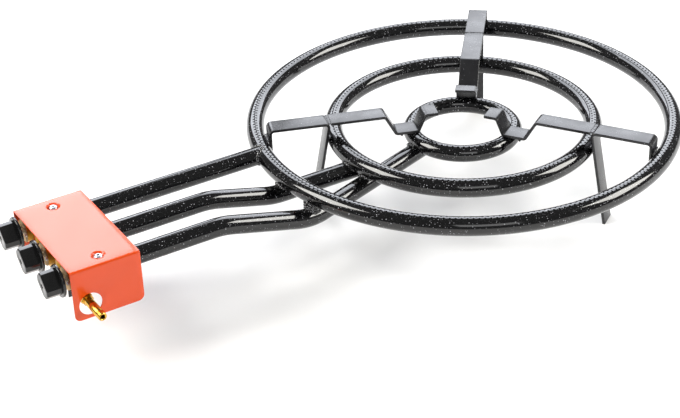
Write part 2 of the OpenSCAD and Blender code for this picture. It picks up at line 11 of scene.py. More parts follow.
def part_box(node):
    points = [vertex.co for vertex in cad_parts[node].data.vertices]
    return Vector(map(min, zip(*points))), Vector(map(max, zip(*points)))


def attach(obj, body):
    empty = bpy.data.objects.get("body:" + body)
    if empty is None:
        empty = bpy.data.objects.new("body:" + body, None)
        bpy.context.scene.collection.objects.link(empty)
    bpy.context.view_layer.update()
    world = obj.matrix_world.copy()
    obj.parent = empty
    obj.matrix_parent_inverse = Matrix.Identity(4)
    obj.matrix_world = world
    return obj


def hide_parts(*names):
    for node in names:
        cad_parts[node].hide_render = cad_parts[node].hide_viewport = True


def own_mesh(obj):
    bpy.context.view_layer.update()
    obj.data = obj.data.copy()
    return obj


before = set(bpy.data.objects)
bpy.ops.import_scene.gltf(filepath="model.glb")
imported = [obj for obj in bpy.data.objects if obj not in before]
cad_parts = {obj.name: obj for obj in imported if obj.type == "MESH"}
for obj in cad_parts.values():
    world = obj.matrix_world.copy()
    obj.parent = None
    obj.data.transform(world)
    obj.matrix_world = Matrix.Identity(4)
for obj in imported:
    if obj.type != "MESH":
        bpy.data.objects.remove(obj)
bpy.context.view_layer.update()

bl_info = {
    "name": "Paella burner",
    "version": (1, 0, 0),
    "blender": (4, 5, 0),
    "location": "View3D > Sidebar > Burner",
    "description": "Builds the visible pieces of a three-ring paella burner round its packed solids",
    "category": "Object",
}

TAPS = ("outer", "middle", "inner")
TAU = 2 * math.pi
QUARTER = math.pi / 2


def linear(code):
    """Linear colour of an sRGB hex value."""
    parts = [int(code[i:i + 2], 16) / 255 for i in (1, 3, 5)]
    return tuple(c / 12.92 if c <= 0.04045 else ((c + 0.055) / 1.055) ** 2.4 for c in parts)


def length(name, description, millimetres):
    """A length property, given in millimetres and kept in metres."""
    return bpy.props.FloatProperty(name=name, description=description, default=millimetres / 1000,
                                   min=0, unit="LENGTH", precision=4)


def angle(name, description, degrees):
    """An angle property, given in degrees and kept in radians."""
    return bpy.props.FloatProperty(name=name, description=description, default=math.radians(degrees),
                                   subtype="ANGLE", unit="ROTATION")


def colour(name, description, code):
    """A colour property from an sRGB hex value."""
    return bpy.props.FloatVectorProperty(name=name, description=description, default=linear(code), size=3,
                                         min=0, max=1, subtype="COLOR")


class BurnerSizes(bpy.types.PropertyGroup):
    """Sizes that the visible pieces add to the solids, or repeat from them."""
    port_pitch: length("Port pitch", "Spacing of the gas ports along a row", 7.3)
    port_d: length("Port diameter", "Diameter of a gas port", 2.9)
    port_row: length("Port row", "Distance of a port row from the top of the tube", 2.0)
    port_depth: length("Port depth", "Depth of a gas port", 3.0)
    pipe_d: length("Pipe diameter", "Diameter of the feed pipes", 25)
    pipe_wall: length("Pipe wall", "Wall of the feed pipes", 1)
    mouth_reach: length("Mouth reach", "Ring centre to the pipe mouths", 584)
    bend_clear: length("Bend clear", "Outer ring's centre line to the end of the middle pipe's S bend", 2)
    bend_r: length("Bend radius", "Centre-line radius of the pipe bends", 110)
    bend_angle: angle("Bend angle", "Slope of the pipes between their bends", 15)
    turn_reach: length("Turn reach", "Ring centre to the inner pipe's turn", 285)
    turn_angle: angle("Turn angle", "Angle of the inner pipe's turn", 18.5)
    bar_w: length("Bar width", "Width of the flat bar", 28)
    bar_t: length("Bar thickness", "Thickness of the flat bar", 4)
    bar_edge: length("Bar edge", "Rounding of the flat bar's edges", 0.9)
    bar_bend_r: length("Bar bend", "Inside bend radius of the flat bar", 3)
    leg_splay: length("Leg splay", "Outward reach of a foot beyond the top of its leg", 24)
    end_drop: length("End drop", "Depth of a bar's outer end below the ring axis", 8)
    step_r: length("Step radius", "Radius at which the bars start down", 113)
    saddle_r: length("Saddle radius", "Radius at which the saddle starts", 98)
    tab_r: length("Tab radius", "Radius of the tabs' outer bend", 57)
    tab_end_r: length("Tab end", "Radius of the tabs' inner ends", 39)
    tab_drop: length("Tab drop", "Drop of the tabs below the pan rest", 4)
    rear_step_r: length("Rear step radius", "Radius at which the rear bar starts down", 131)
    rear_leg_r: length("Rear leg radius", "Radius of the rear leg's top", 216)
    bead_r: length("Bead radius", "Half width of a weld bead", 2.6)
    bead_pitch: length("Bead pitch", "Spacing of the ripples on a weld bead", 4.5)
    cover_t: length("Cover sheet", "Sheet thickness of the cover", 1.2)
    fold_r: length("Fold radius", "Outside radius of the cover's folds", 3)
    corner_r: length("Corner radius", "Radius of the cover's lower corners", 8)
    nozzle_hole_d: length("Nozzle hole", "Hole for the hose nozzle", 30)
    dimple_d: length("Dimple floor", "Floor diameter of a screw dimple", 12.9)
    dimple_top_d: length("Dimple rim", "Rim diameter of a screw dimple", 18)
    dimple_depth: length("Dimple depth", "Depth of a screw dimple", 3)
    screw_spacing: length("Screw spacing", "Spacing of the cover screws", 136)
    screw_head_d: length("Screw head", "Diameter of a cover screw's head", 11.4)
    nozzle_d: length("Nozzle diameter", "Diameter of the hose nozzle over its ridges", 11.5)
    nozzle_bore_d: length("Nozzle bore", "Bore of the hose nozzle", 6)
    nozzle_ridge: length("Nozzle ridge", "Length of one ridge at the nozzle's tip", 4)
    nozzle_nut: length("Nozzle nut", "Length of the nozzle's six-sided nut", 6)
    spigot_d: length("Spigot", "Diameter of the nozzle's spigot in the rail", 9.8)
    push_travel: length("Push travel", "Travel of a knob when it is pushed in", 3)
    wire_d: length("Spring wire", "Wire of the return springs", 0.8)
    spring_turns: bpy.props.IntProperty(name="Spring turns", description="Turns of a return spring",
                                        default=3, min=2)
    skirt_d: length("Knob skirt", "Diameter of the knob skirt", 42)
    skirt_t: length("Skirt thickness", "Thickness of the knob skirt", 3.5)
    grip_len: length("Grip length", "Length of the knob's grip", 33)
    grip_w: length("Grip width", "Width of the knob's grip", 20)
    grip_chamfer: length("Grip chamfer", "Chamfer of the grip's corners", 5)
    grip_tilt: angle("Grip tilt", "Tilt of the grip when the tap is shut", 45)


class BurnerColours(bpy.types.PropertyGroup):
    """Colours of the finishes."""
    enamel: colour("Enamel", "Ground coat of the enamel", "#060607")
    speck: colour("Speck", "Pale specks in the enamel", "#d9dae0")
    bar: colour("Bar enamel", "Enamel of the flat bars", "#17171a")
    paint: colour("Paint", "Orange paint of the cover", "#e84b06")
    paint_deep: colour("Paint, deep", "Darker patches of the orange paint", "#df4a0c")
    brass: colour("Brass", "Bright brass", "#e0b04a")
    brass_dull: colour("Brass, dull", "Dulled brass", "#b98a35")
    steel: colour("Steel", "Plated steel", "#c9ccd2")
    soot: colour("Soot", "Soot inside the gas ports", "#070707")
    plastic: colour("Plastic", "Black plastic of the knobs", "#0a0a0b")
    floor: colour("Floor", "Pale studio floor", "#f6f6f6")


# Shapes worked out as whole arrays

def unit(v):
    """Vectors of an array divided by their lengths."""
    return v / np.linalg.norm(v, axis=-1, keepdims=True)


def circle(n):
    """Points of a unit circle: (cos t, sin t) at n even angles."""
    t = np.arange(n) / n * TAU
    return np.stack([np.cos(t), np.sin(t)], -1)


def filleted(corners, radii, steps=10):
    """Points of a polyline whose inner corners are arcs: an arc of radius r between two unit directions
    starts r tan(half the turn) before the corner, and its points are centre + r (cos, sin) in the plane of
    the turn."""
    straight = 1e-6
    corners = np.asarray(corners, float)
    out = [corners[:1]]
    for p, q, s, r in zip(corners[:-2], corners[1:-1], corners[2:], radii):
        a, b = unit(q - p), unit(s - q)
        turn = math.acos(float(np.clip(a @ b, -1, 1)))
        if turn < straight:
            continue
        inward = unit(b - a * (a @ b))
        start = q - a * r * math.tan(turn / 2)
        t = np.linspace(0, turn, steps + 1)[:, None]
        out.append(start + inward * r + r * (np.sin(t) * a - np.cos(t) * inward))
    return np.concatenate(out + [corners[-1:]])


def spread(path, step):
    """Points put into a path's long stretches, so that none is much longer than step."""
    gaps = np.linalg.norm(np.diff(path, axis=0), axis=1)
    along = np.concatenate([[0], np.cumsum(gaps)])
    counts = np.maximum(1, np.ceil(gaps / step).astype(int))
    at = np.concatenate([a + g * np.arange(n) / n for a, g, n in zip(along, gaps, counts)] + [along[-1:]])
    return np.stack([np.interp(at, along, path[:, i]) for i in range(3)], -1)


def tangents(path, closed=False):
    """Unit tangents of a path by central differences."""
    if closed:
        return unit(np.roll(path, -1, 0) - np.roll(path, 1, 0))
    return unit(np.gradient(path, axis=0))


def carried(path, across, up, profile):
    """A profile carried along a path: each point is path + across * profile x + up * profile y.
    The profile is one (m, 2) table for all path points, or one table for each (n, m, 2)."""
    profile = np.broadcast_to(profile, (len(path),) + profile.shape[-2:])
    return path[:, None] + across[:, None] * profile[..., :1] + up[:, None] * profile[..., 1:]


def round_bar(w, t, r, steps=4):
    """Outline of a w by t bar with round edges: the centre of each corner's arc plus r (cos, sin)."""
    a = (np.arange(4)[:, None] * 90 + np.linspace(0, 90, steps + 1)[None]) * math.pi / 180
    cx = np.array([1, -1, -1, 1])[:, None] * (w / 2 - r)
    cy = np.array([1, 1, -1, -1])[:, None] * (t / 2 - r)
    return np.stack([cx + r * np.cos(a), cy + r * np.sin(a)], -1).reshape(-1, 2)


def hexness(t):
    """Radius of a unit hexagon, measured across corners, in the direction t."""
    return math.cos(math.pi / 6) / np.cos((t % (math.pi / 3)) - math.pi / 6)


def lathe(profile, hexed=(), turns=48):
    """A profile of (radius, height) turned about an axis: (r cos t, r sin t, h). Rows named in hexed follow a
    hexagon instead of a circle."""
    profile = np.asarray(profile, float)
    t = np.arange(turns) / turns * TAU
    r = np.repeat(profile[:, :1], turns, 1)
    for row in hexed:
        r[row] = profile[row, 0] * hexness(t)
    return np.stack([r * np.cos(t), r * np.sin(t), np.repeat(profile[:, 1:], turns, 1)], -1)


def grid_quads(rows, columns):
    """Quads of a grid of closed rows, numbered row by row: a point and the next one in its row, then the two
    beside them in the next row."""
    r, c = np.meshgrid(np.arange(rows - 1), np.arange(columns), indexing="ij")
    n = (c + 1) % columns
    here, there = r * columns, (r + 1) * columns
    return np.stack([here + c, here + n, there + n, there + c], -1).reshape(-1, 4)


def signed_volume(verts, faces):
    """Six times the volume of a closed mesh, from fans of triangles, positive when faces point outwards."""
    tris = np.array([(f[0], f[i], f[i + 1]) for f in faces for i in range(1, len(f) - 1)])
    a, b, c = (verts[tris[:, i]] for i in range(3))
    return float(np.einsum("ij,ij->i", a, np.cross(b, c)).sum())


def outward(verts, faces):
    """A closed shell with its faces turned outwards."""
    if signed_volume(verts, faces) < 0:
        faces = [f[::-1] for f in faces]
    return verts, faces


def capped(rows):
    """A shell of closed rows whose first and last rows are filled with one face each."""
    n, m = rows.shape[:2]
    faces = grid_quads(n, m).tolist()
    faces.append(list(range(m))[::-1])
    faces.append(list(range((n - 1) * m, n * m)))
    return outward(rows.reshape(-1, 3), faces)


def looped(rows):
    """A shell of closed rows whose last row joins the first."""
    n, m = rows.shape[:2]
    faces = grid_quads(n + 1, m) % (n * m)
    return outward(rows.reshape(-1, 3), faces.tolist())


def joined(shells):
    """Several shells put into one list of vertices and faces."""
    verts, faces, start = [], [], 0
    for v, f in shells:
        verts.append(np.asarray(v, float))
        faces += [[i + start for i in face] for face in f]
        start += len(v)
    return np.concatenate(verts), faces


FINISHES = {}


def piece(name, shell, key, body, nodes=(), sharp=35, lining=None, lined=0):
    """A mesh object at the origin that rides on a body and stands for the named nodes. It takes the finish
    under key, but for its last faces, as many as lined says, which take the finish under lining."""
    verts, faces = shell
    mesh = bpy.data.meshes.new(name)
    mesh.from_pydata(np.asarray(verts).tolist(), [], faces)
    mesh.polygons.foreach_set("use_smooth", np.ones(len(mesh.polygons), bool))
    mesh.set_sharp_from_angle(angle=math.radians(sharp))
    mesh.materials.append(FINISHES[key])
    if lined:
        mesh.materials.append(FINISHES[lining])
        mesh.polygons.foreach_set("material_index", np.repeat([0, 1], [len(faces) - lined, lined]))
    mesh.validate()
    mesh.update()
    made = bpy.data.objects.new(name, mesh)
    bpy.context.scene.collection.objects.link(made)
    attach(made, body)
    if nodes:
        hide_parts(*nodes)
    return made


def coat(nodes, key):
    """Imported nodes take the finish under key."""
    for node in nodes:
        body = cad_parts[node]
        body.data.materials.clear()
        body.data.materials.append(FINISHES[key])


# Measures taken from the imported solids

def box_of(node):
    """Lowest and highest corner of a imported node, as arrays."""
    lo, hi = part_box(node)
    return np.array(lo), np.array(hi)


def ring_of(node):
    """Centre, centre-line radius and tube radius of a ring."""
    lo, hi = box_of(node)
    tube = (hi[2] - lo[2]) / 2
    return (lo + hi) / 2, (hi[0] - lo[0]) / 2 - tube, tube


RINGS = {name: ring_of(name + "_ring") for name in TAPS}
CENTRE = RINGS["outer"][0]
PIPE_Y = {name: float(sum(box_of(name + "_knob"))[1] / 2) for name in TAPS}
PAN_Z = float(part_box("rear_outer_bracket")[1].z)
# Gap that the solids leave between welded or seated pieces
WELD_GAP = 0.0001
# Each support's direction in degrees, and how far it stands to the side of the ring centre
SUPPORTS = {"left": (160, 0.004), "right": (304, -0.009), "rear": (50.5, 0)}


# Finishes

def add(tree, kind, settings=None, links=None):
    """A node of a kind, with values for its settings or sockets, and links into its sockets."""
    made = tree.nodes.new(kind)
    for key, value in (settings or {}).items():
        if isinstance(key, str) and hasattr(made, key):
            setattr(made, key, value)
        else:
            made.inputs[key].default_value = value
    for key, source in (links or {}).items():
        tree.links.new(source, made.inputs[key])
    return made


def finish(name, settings):
    """An empty material with a surface shader, whose even values are set on its own sockets."""
    mat = bpy.data.materials.new(name)
    mat.use_nodes = True
    tree = mat.node_tree
    tree.nodes.clear()
    shader = add(tree, "ShaderNodeBsdfPrincipled", settings)
    add(tree, "ShaderNodeOutputMaterial", {}, {"Surface": shader.outputs[0]})
    where = add(tree, "ShaderNodeTexCoord").outputs["Object"]
    return mat, tree, shader, where


def opaque(rgb):
    """A colour with full opacity."""
    return (rgb[0], rgb[1], rgb[2], 1.0)


def shaded(rgb, share):
    """A colour made darker or lighter by a share."""
    return tuple(share * c for c in rgb)


def noise(tree, where, size_mm, detail):
    """A noise pattern with features about size_mm across."""
    made = add(tree, "ShaderNodeTexNoise", {"Scale": 1000 / size_mm, "Detail": detail}, {"Vector": where})
    return made.outputs[0]


def ranged(tree, value, low, high, start=0.0, end=1.0):
    """A value whose span from start to end is mapped onto low to high."""
    spans = {"From Min": start, "From Max": end, "To Min": low, "To Max": high}
    return add(tree, "ShaderNodeMapRange", spans, {"Value": value}).outputs[0]


def colour_by(tree, shader, share, low, high):
    """Base colour that goes from low to high with a share."""
    body = add(tree, "ShaderNodeMix", {"data_type": "RGBA", 6: opaque(low), 7: opaque(high)}, {0: share})
    tree.links.new(body.outputs[2], shader.inputs["Base Color"])


def gloss_by(tree, shader, value, low, high, start=0.0, end=1.0):
    """Roughness that goes from low to high as a value goes from start to end."""
    tree.links.new(ranged(tree, value, low, high, start, end), shader.inputs["Roughness"])


def bump_by(tree, shader, height, strength, depth):
    """Fine relief from a pattern of heights."""
    bump = add(tree, "ShaderNodeBump", {"Strength": strength, "Distance": depth}, {"Height": height})
    tree.links.new(bump.outputs[0], shader.inputs["Normal"])


def enamel_finish(name, ground, speck, speck_mm, spacing_mm, rough, ior):
    """Vitreous enamel, dipped and fired on steel: a deep glassy black with pale specks of frit, a slow
    waviness where the coat ran, and a gloss that changes a little from place to place."""
    mat, tree, shader, where = finish(name, {"IOR": ior})
    scale = 1000 / spacing_mm
    reach = speck_mm / 2 / spacing_mm
    cells = add(tree, "ShaderNodeTexVoronoi", {"Scale": scale}, {"Vector": where})
    pick = add(tree, "ShaderNodeSeparateColor", {}, {"Color": cells.outputs["Color"]})
    size = ranged(tree, pick.outputs[0], low=0.5 * reach, high=1.3 * reach)
    mark = add(tree, "ShaderNodeMath", {"operation": "LESS_THAN"}, {0: cells.outputs["Distance"], 1: size})
    # Each speck has its own paleness
    pale = ranged(tree, pick.outputs[1], low=0.2, high=0.65)
    specks = add(tree, "ShaderNodeMath", {"operation": "MULTIPLY"}, {0: mark.outputs[0], 1: pale})
    # Dust of finer frit, drawn coarser than the real grit so that it shows
    dust_scale, dust_reach, dust_paleness = 2.3 * scale, 0.8 * reach, 0.13
    grit = add(tree, "ShaderNodeTexVoronoi", {"Scale": dust_scale}, {"Vector": where})
    fine = add(tree, "ShaderNodeMath", {"operation": "LESS_THAN", 1: dust_reach},
               {0: grit.outputs["Distance"]})
    dust = add(tree, "ShaderNodeMath", {"operation": "MULTIPLY", 1: dust_paleness}, {0: fine.outputs[0]})
    marks = add(tree, "ShaderNodeMath", {"operation": "MAXIMUM"}, {0: specks.outputs[0], 1: dust.outputs[0]})
    colour_by(tree, shader, marks.outputs[0], ground, speck)
    # Runs in the coat change the gloss
    runs = noise(tree, where, size_mm=30, detail=3)
    gloss_by(tree, shader, runs, *rough, start=0.3, end=0.7)
    # Orange-peel waves
    peel = noise(tree, where, size_mm=9, detail=1)
    bump_by(tree, shader, peel, strength=0.06, depth=0.0006)
    return mat


def soot_finish(ground):
    """Soot and scale inside the gas ports: almost black, dull and grainy."""
    mat, tree, shader, where = finish("port_soot", {"Roughness": 0.95, "Specular IOR Level": 0.1})
    grain = noise(tree, where, size_mm=1.2, detail=2)
    colour_by(tree, shader, grain, ground, shaded(ground, 2.5))
    return mat


def paint_finish(light, deep):
    """Stoved orange paint on sheet steel: even colour, smooth gloss, a fine orange peel."""
    mat, tree, shader, where = finish("orange_stoved_paint", {"IOR": 1.5, "Coat Weight": 0.15,
                                                              "Coat Roughness": 0.12})
    drift = noise(tree, where, size_mm=40, detail=3)
    colour_by(tree, shader, drift, light, deep)
    gloss_by(tree, shader, drift, low=0.18, high=0.3)
    peel = noise(tree, where, size_mm=1.6, detail=2)
    bump_by(tree, shader, peel, strength=0.08, depth=0.0003)
    return mat


def metal_finish(name, bright, dull, rough):
    """Turned metal: bright, with fine tool lines round the axis and duller patches from handling."""
    mat, tree, shader, where = finish(name, {"Metallic": 1.0})
    wear = noise(tree, where, size_mm=9, detail=4)
    patch = ranged(tree, wear, low=0.0, high=1.0, start=0.35, end=0.7)
    colour_by(tree, shader, patch, bright, dull)
    gloss_by(tree, shader, patch, *rough)
    # A wave of scale 1 turns through 20 radians to the metre; the tool lines are one turn, about 5 mm, apart
    radian_mm, radians = 0.8, 20
    lines = add(tree, "ShaderNodeTexWave", {"bands_direction": "Y", "Scale": 1000 / radian_mm / radians,
                                            "Distortion": 0.4}, {"Vector": where})
    bump_by(tree, shader, lines.outputs[0], strength=0.06, depth=0.0002)
    return mat


def plastic_finish(ground):
    """Phenolic plastic, pressed in a polished mould: black with a clear gloss and faint sink marks."""
    mat, tree, shader, where = finish("black_pressed_plastic", {"IOR": 1.55})
    sink = noise(tree, where, size_mm=12, detail=2)
    pale = tuple(min(1.0, 1.6 * c + 0.004) for c in ground)
    colour_by(tree, shader, sink, ground, pale)
    gloss_by(tree, shader, sink, low=0.06, high=0.18)
    grain = noise(tree, where, size_mm=0.9, detail=2)
    bump_by(tree, shader, grain, strength=0.05, depth=0.0002)
    return mat


# Pieces

def ported_ring(centre, radius, tube, sizes, flank_lines=34):
    """A ring tube with two staggered rows of ports. A point at angle p round the ring and angle q from the
    top of the tube is ((R + t sin q) cos p, (R + t sin q) sin p, t cos q). The band of ports is two rows of
    cells, each a frame of eight quads round an eight-sided hole; the rows are half a cell apart, so their
    corners meet. The walls and floors of the ports come last, and their number is returned beside the
    shell."""
    sides = 8
    n = int(round(TAU * radius / sizes.port_pitch))
    half_p = TAU / (2 * n)
    h = sizes.port_row / tube
    lines = np.concatenate([[-2 * h, 0, 2 * h], np.linspace(2 * h, TAU - 2 * h, flank_lines)[1:-1]])

    def at(p, q, depth=0.0):
        p, q = np.broadcast_arrays(p, q)
        t = tube - depth
        rho = radius + t * np.sin(q)
        return np.stack([centre[0] + rho * np.cos(p), centre[1] + rho * np.sin(p),
                         centre[2] + t * np.cos(q)], -1)

    columns = np.arange(2 * n) * half_p
    verts = [at(columns[None], lines[:, None]).reshape(-1, 3)]
    count = len(lines) * 2 * n
    shell = grid_quads(len(lines), 2 * n).reshape(len(lines) - 1, 2 * n, 4)[2:].reshape(-1, 4)
    last = np.arange(2 * n)
    nxt = (last + 1) % (2 * n)
    base = (len(lines) - 1) * 2 * n
    faces = [shell, np.stack([base + last, base + nxt, nxt, last], -1)]
    inside = []
    k = np.arange(sides)
    a = k * TAU / sides
    for row in (0, 1):
        middle = 2 * np.arange(n) + (1 - row)
        q0 = -h if row == 0 else h
        lo, hi = row * 2 * n, (row + 1) * 2 * n
        left, right = (middle - 1) % (2 * n), (middle + 1) % (2 * n)
        mids = count
        verts.append(at(((middle + 1) * half_p), np.full(n, q0)))
        hole = count + n
        p = middle[:, None] * half_p + sizes.port_d / 2 / radius * np.cos(a)
        q = np.broadcast_to(q0 + sizes.port_d / 2 / tube * np.sin(a), p.shape)
        verts.append(at(p, q).reshape(-1, 3))
        foot = hole + sides * n
        verts.append(at(p, q, sizes.port_depth).reshape(-1, 3))
        count = foot + sides * n
        i = np.arange(n)
        rim = np.stack([mids + i, hi + right, hi + middle, hi + left,
                        mids + (i - 1) % n, lo + left, lo + middle, lo + right], -1)
        edge = hole + sides * i[:, None] + k
        deep = foot + sides * i[:, None] + k
        next_rim, next_edge, next_deep = (np.roll(x, -1, 1) for x in (rim, edge, deep))
        faces.append(np.stack([rim, next_rim, next_edge, edge], -1).reshape(-1, 4))
        inside.append(np.stack([edge, next_edge, next_deep, deep], -1).reshape(-1, 4))
        inside.append(deep)
    whole = [f for group in faces + inside for f in group.tolist()]
    return outward(np.concatenate(verts), whole), sum(len(group) for group in inside)


def pipe_shell(path, d, wall, sides=40):
    """A tube closed at its far end: the outer skin runs back from the far end to the mouth, turns over the
    lip and runs on as the inner skin. Each row is path + r (across cos t + up sin t)."""
    along = tangents(path)
    across = unit(np.cross(np.array([0, 0, 1.0]), along))
    up = np.cross(along, across)
    ring = circle(sides)
    outer = carried(path[::-1], across[::-1], up[::-1], ring * d / 2)
    lip = wall / 3
    soft = carried(path[:1], across[:1], up[:1], ring * (d / 2 - lip))
    outer[-1] += along[0] * lip
    inner_path = path.copy()
    inner_path[-1] -= along[-1] * wall
    inner = carried(inner_path, across, up, ring * (d / 2 - wall))
    return capped(np.concatenate([outer, soft, inner]))


def bead_shell(path, outward_dir, r, pitch, closed, flat=0.75, sides=12):
    """A weld bead: a round profile, flattened towards the seam, carried along it. Its radius swells once per
    pitch and drifts slowly, r (core + swell |sin w| + drift sin sin), and its rows lean to and fro like laid
    drops. An open bead narrows towards its ends."""
    core, swell, drift, lean = 0.82, 0.26, 0.10, 0.25
    along = tangents(path, closed)
    side = unit(np.cross(along, outward_dir))
    out = np.cross(side, along)
    steps = np.linalg.norm(np.diff(path, axis=0, append=path[:1]), axis=1)
    s = np.concatenate([[0], np.cumsum(steps)[:-1]])
    total = steps.sum() if closed else s[-1]
    waves = max(3, round(total / pitch))
    w = s / total * waves * math.pi
    size = r * (core + swell * np.abs(np.sin(w)) + drift * np.sin(w * 0.37 + 1.3) * np.sin(w * 0.61 + 0.4))
    if not closed:
        end, steep, least = 0.02, 3, 0.15
        taper = np.sin(np.clip(s / total, end, 1 - end) * math.pi) * steep
        size = size * np.clip(taper, least, 1) ** 0.5
    ring = circle(sides)
    profile = size[:, None, None] * (ring * [1, flat])[None]
    leaning = lean * r * np.cos(2 * w)[:, None, None] * along[:, None] * ring[None, :, :1] ** 2
    rows = carried(path, side, out, profile) + leaning
    return looped(rows) if closed else capped(rows)


def bar_shell(path, across, w, t, edge, foot=False):
    """A flat bar: a round-edged outline carried along a bent path in one upright plane. A foot is cut level
    by sliding its last row along the bar to the floor."""
    along = tangents(path)
    across = np.broadcast_to(across, path.shape)
    up = np.cross(along, across)
    outline = round_bar(w, t, edge)
    inset = round_bar(w - edge, t - edge, edge / 2)
    rows = carried(path, across, up, outline)
    first = carried(path[:1], across[:1], up[:1], inset)
    rows[0] += along[0] * edge / 2
    if foot:
        rows[-1] -= along[-1] * (rows[-1][:, 2:] / along[-1][2])
        return capped(np.concatenate([first, rows]))
    last = carried(path[-1:], across[-1:], up[-1:], inset)
    rows[-1] -= along[-1] * edge / 2
    return capped(np.concatenate([first, rows, last]))


def support_paths(sizes, name):
    """Centre lines of a support's outer and inner bars in its own plane, as (distance from centre, height).
    The rear bar is longer: it runs over the outer ring and turns down outside it."""
    outer, middle, inner = (RINGS[ring] for ring in TAPS)
    bar_z = PAN_Z - sizes.bar_t / 2
    shift = max(abs(s) for _, s in SUPPORTS.values())
    sag = outer[1] - math.sqrt(outer[1] ** 2 - (sizes.bar_w / 2 + shift) ** 2)
    end_r = outer[1] - outer[2] - sizes.bar_t / 2 - WELD_GAP - sag
    slope = math.atan(sizes.leg_splay / bar_z)
    top_r = (middle[1] + middle[2] + sizes.bar_t / 2 / math.cos(slope) + WELD_GAP
             - (bar_z - middle[0][2] - middle[2]) * math.tan(slope))
    step_r = sizes.step_r
    if name == "rear":
        end_r = outer[1] + outer[2] + sizes.bar_t / 2 + WELD_GAP
        top_r = sizes.rear_leg_r
        step_r = sizes.rear_step_r
    saddle_z = inner[0][2] + inner[2] + WELD_GAP + sizes.bar_t / 2
    tab_z = bar_z - sizes.tab_drop
    seam_r = top_r - sizes.bar_t / 2 - WELD_GAP
    outer_bar = [(end_r, outer[0][2] - sizes.end_drop), (end_r, bar_z), (top_r, bar_z),
                 (top_r + sizes.leg_splay, 0)]
    inner_bar = [(seam_r, bar_z), (step_r, bar_z), (sizes.saddle_r, saddle_z),
                 (inner[1] - sizes.bar_t, saddle_z), (sizes.tab_r, tab_z), (sizes.tab_end_r, tab_z)]
    return outer_bar, inner_bar


def in_support(points, degrees, shift):
    """Points (distance, height) of a support put into the part's frame, and the direction across the bar."""
    a = math.radians(degrees)
    out = np.array([math.cos(a), math.sin(a), 0])
    across = np.array([-math.sin(a), math.cos(a), 0])
    points = np.asarray(points, float)
    base = np.array([CENTRE[0], CENTRE[1], 0]) + across * shift
    return base + points[:, :1] * out + points[:, 1:] * np.array([0, 0, 1.0]), across


def pipe_paths(sizes):
    """Centre lines of the three feed pipes. A sloping stretch is drop over tangent of the slope long; it ends
    under the outer ring, where the middle pipe levels off and the inner pipe also turns to the inner ring.
    The outer pipe stops a little short of its ring's centre line."""
    short, bend_steps, step = 0.003, 14, 0.02
    outer, middle, inner = (RINGS[name] for name in TAPS)
    mouth = -sizes.mouth_reach
    z = outer[0][2]
    low = {"middle": z - outer[2] - sizes.pipe_d / 2 - WELD_GAP,
           "inner": middle[0][2] - middle[2] - sizes.pipe_d / 2 - WELD_GAP}
    side = math.sqrt(outer[1] ** 2 - PIPE_Y["outer"] ** 2)
    paths = {"outer": [(mouth, PIPE_Y["outer"], z), (-side - short, PIPE_Y["outer"], z)]}
    levels_at = {"middle": outer[1] + sizes.bend_clear + sizes.bend_r * math.tan(sizes.bend_angle / 2),
                 "inner": sizes.turn_reach}
    for name, reach in levels_at.items():
        run = (z - low[name]) / math.tan(sizes.bend_angle)
        y = PIPE_Y[name]
        paths[name] = [(mouth, y, z), (-reach - run, y, z), (-reach, y, low[name])]
    paths["middle"].append((-middle[1] + sizes.pipe_d / 2, PIPE_Y["middle"], low["middle"]))
    corner = np.array([-sizes.turn_reach, PIPE_Y["inner"]])
    d = np.array([math.cos(sizes.turn_angle), math.sin(sizes.turn_angle)])
    off = corner @ np.array([-d[1], d[0]])
    meet = corner + d * (-(corner @ d) - math.sqrt(inner[1] ** 2 - off ** 2))
    end = meet + d * sizes.pipe_d / 2
    paths["inner"].append((end[0], end[1], low["inner"]))
    placed = {}
    for name, corners in paths.items():
        path = filleted(np.array(corners), [sizes.bend_r] * (len(corners) - 2), bend_steps)
        placed[name] = spread(path + np.array([CENTRE[0], 0, 0]), step)
    return placed, low, meet


class BURNER_OT_finishes(bpy.types.Operator):
    """Mix the finishes of the enamel, paint, metals and plastic"""
    bl_idname = "burner.finishes"
    bl_label = "Finishes"

    def execute(self, context):
        c = context.scene.burner_colours
        FINISHES["enamel"] = enamel_finish("speckled_black_enamel", c.enamel, c.speck, speck_mm=1.1,
                                           spacing_mm=3.1, rough=(0.05, 0.11), ior=1.6)
        FINISHES["weld"] = enamel_finish("weld_enamel", c.enamel, c.speck, speck_mm=1.4,
                                         spacing_mm=2.1, rough=(0.1, 0.25), ior=1.55)
        FINISHES["bar"] = enamel_finish("black_bar_enamel", c.bar, c.speck, speck_mm=0.7,
                                        spacing_mm=4.2, rough=(0.22, 0.34), ior=1.55)
        FINISHES["soot"] = soot_finish(c.soot)
        FINISHES["paint"] = paint_finish(c.paint, c.paint_deep)
        worn = 0.7
        FINISHES["brass"] = metal_finish("turned_brass", c.brass, c.brass_dull, rough=(0.14, 0.3))
        FINISHES["cast_brass"] = metal_finish("cast_brass", c.brass_dull, shaded(c.brass_dull, worn),
                                              rough=(0.32, 0.5))
        FINISHES["steel"] = metal_finish("zinc_plated_steel", c.steel, shaded(c.steel, worn),
                                         rough=(0.2, 0.4))
        FINISHES["plastic"] = plastic_finish(c.plastic)
        return {"FINISHED"}


class BURNER_OT_rings(bpy.types.Operator):
    """Build the three ported rings"""
    bl_idname = "burner.rings"
    bl_label = "Rings"

    def execute(self, context):
        for name in TAPS:
            shell, lined = ported_ring(*RINGS[name], context.scene.burner_sizes)
            piece(name + "_ported_ring", shell, "enamel", "frame", [name + "_ring"],
                  lining="soot", lined=lined)
        return {"FINISHED"}


